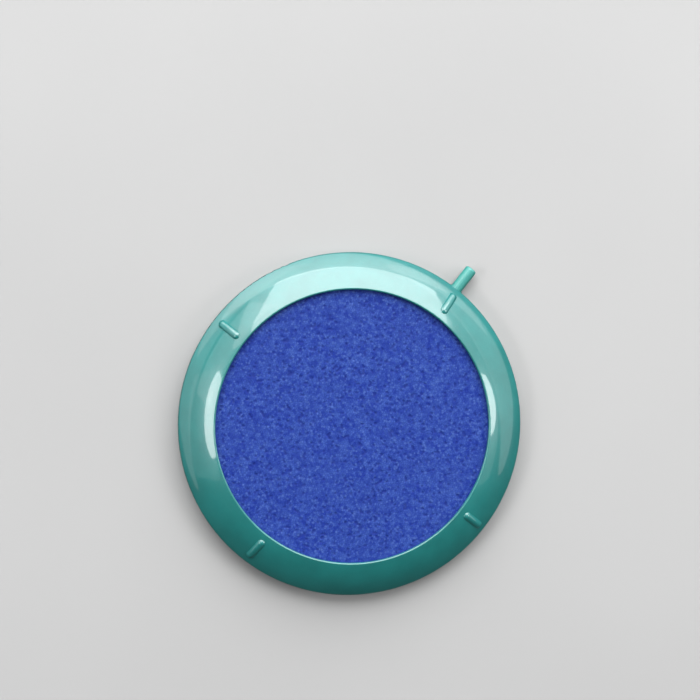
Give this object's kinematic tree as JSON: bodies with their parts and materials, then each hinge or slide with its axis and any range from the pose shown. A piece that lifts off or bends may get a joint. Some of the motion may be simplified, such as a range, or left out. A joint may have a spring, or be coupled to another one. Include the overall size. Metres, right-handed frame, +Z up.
{
  "type": "air stone",
  "caption": "Low round bubble disc for a tank: a porous stone in a sloping plastic ring over an air chamber, fed through a side hose nipple.",
  "frame": {"origin": "centre of the plane that the disc rests on", "axes": "+Z up, out of the porous face; +X along the hose nipple, away from the disc"},
  "size_m": [0.1366, 0.127, 0.0154],
  "materials": {
    "ring_plastic": "satin",
    "pan_plastic": "matte",
    "stone": "matte",
    "silicone": "satin",
    "rubber": "matte"
  },
  "bodies": {
    "root": {"ring_shell": "ring_plastic", "base_pan": "pan_plastic", "stone_disc": "stone", "stone_gasket": "silicone", "edge_seal": "silicone", "hose_nipple": "ring_plastic", "nipple_oring": "rubber"}
  },
  "joints": []
}
